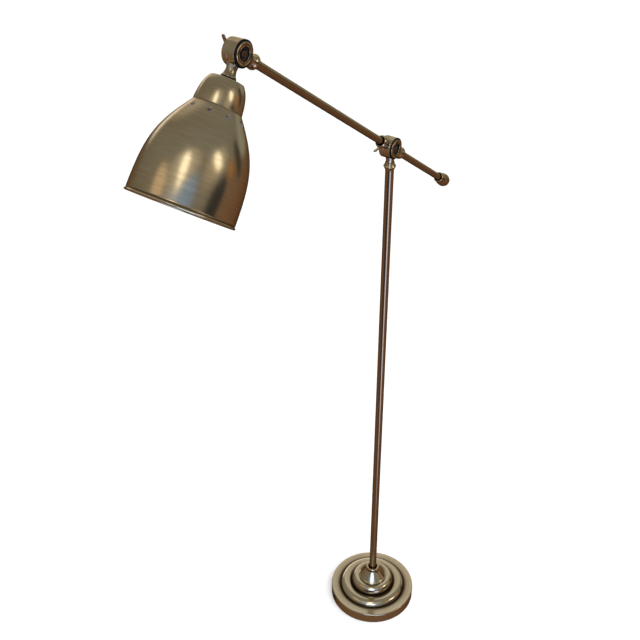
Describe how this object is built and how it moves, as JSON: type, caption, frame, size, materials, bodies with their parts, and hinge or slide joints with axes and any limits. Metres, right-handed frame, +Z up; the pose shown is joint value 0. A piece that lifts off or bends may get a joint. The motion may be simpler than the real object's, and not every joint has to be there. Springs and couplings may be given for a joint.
{
  "type": "adjustable arm floor lamp",
  "caption": "Floor lamp with a weighted round base, slim pole and tilting counterbalanced arm; a bell-shaped metal shade tilts on a clamped drum joint at the arm's end.",
  "frame": {"origin": "middle of the base's underside, on the pole axis, level with the floor", "axes": "+Z up along the pole; the arm lies in the XZ plane and carries the shade towards -X; both tilt joints turn about Y, with their cap rings facing -Y and their wing nuts facing +Y"},
  "size_m": [0.9535, 0.23, 1.7209],
  "materials": {
    "antique_plate": "satin antique-brass plate with fine circular brushing",
    "dark_bronze": "satin dark-bronze plate",
    "polished_trim": "satin antique-brass trim, edges rubbed brighter",
    "steel": "zinc-plated steel",
    "iron": "sand-cast, black varnish",
    "rubber": "matt black",
    "white_plastic": "matt white moulded",
    "glass": "frosted"
  },
  "bodies": {
    "pole": {"base_pad": "rubber", "base_weight": "iron", "base_cover": "antique_plate", "cord_gland": "rubber", "base_stud": "steel", "base_nut": "steel", "base_washer": "steel", "base_spacer": "steel", "pole_socket": "antique_plate", "collar_washer": "rubber", "base_collar": "polished_trim", "pole_tube": "dark_bronze", "pole_lower_bush": "steel", "pole_lead": "rubber", "pole_spigot": "steel", "pole_bead": "polished_trim", "pole_joint_rear": "dark_bronze"},
    "arm": {"pole_joint_front": "dark_bronze", "pole_joint_bolt": "dark_bronze", "pole_joint_black_ring": "rubber", "pole_joint_cap_ring": "polished_trim", "pole_joint_friction_washer": "rubber", "pole_joint_back_washer": "steel", "arm_tube": "dark_bronze", "tail_tube": "dark_bronze", "arm_bead_pole_end": "polished_trim", "tail_bead": "polished_trim", "arm_bead_shade_end": "polished_trim", "arm_spigot_pole_end": "steel", "tail_spigot": "steel", "arm_spigot_shade_end": "steel", "arm_lead": "rubber", "tail_finial": "polished_trim", "head_joint_front": "dark_bronze", "head_joint_bolt": "dark_bronze", "head_joint_black_ring": "rubber", "head_joint_cap_ring": "polished_trim", "head_joint_friction_washer": "rubber", "head_joint_back_washer": "steel"},
    "head": {"head_joint_rear": "dark_bronze", "shade_gasket": "rubber", "shade": "antique_plate", "shade_nipple": "steel", "shade_locknut": "steel", "holder_cap": "white_plastic", "holder_body": "white_plastic", "holder_insulator": "white_plastic", "centre_contact": "steel", "holder_screw_shell": "steel"},
    "bulb": {"bulb_cap": "steel", "bulb_glass": "glass"},
    "pole_wing_nut": {"pole_wing_nut": "dark_bronze"},
    "head_wing_nut": {"head_wing_nut": "dark_bronze"}
  },
  "joints": [
    {"name": "pole_tilt", "type": "hinge", "parent": "pole", "child": "arm", "pos_m": [0, 0, 1.371], "axis": [0, 1, 0], "range_deg": [-79, 9]},
    {"name": "head_tilt", "type": "hinge", "parent": "arm", "child": "head", "pos_m": [-0.46641, 0, 1.69517], "axis": [0, 1, 0], "range_deg": [-35, 85]},
    {"name": "pole_wing_nut_turn", "type": "hinge", "parent": "arm", "child": "pole_wing_nut", "pos_m": [0, 0, 1.371], "axis": [0, 1, 0], "continuous": true},
    {"name": "head_wing_nut_turn", "type": "hinge", "parent": "arm", "child": "head_wing_nut", "pos_m": [-0.46641, 0, 1.69517], "axis": [0, 1, 0], "continuous": true},
    {"name": "bulb_turn", "type": "hinge", "parent": "head", "child": "bulb", "pos_m": [-0.53846, 0, 1.5992], "axis": [-0.6004, 0, -0.7997], "continuous": true}
  ]
}
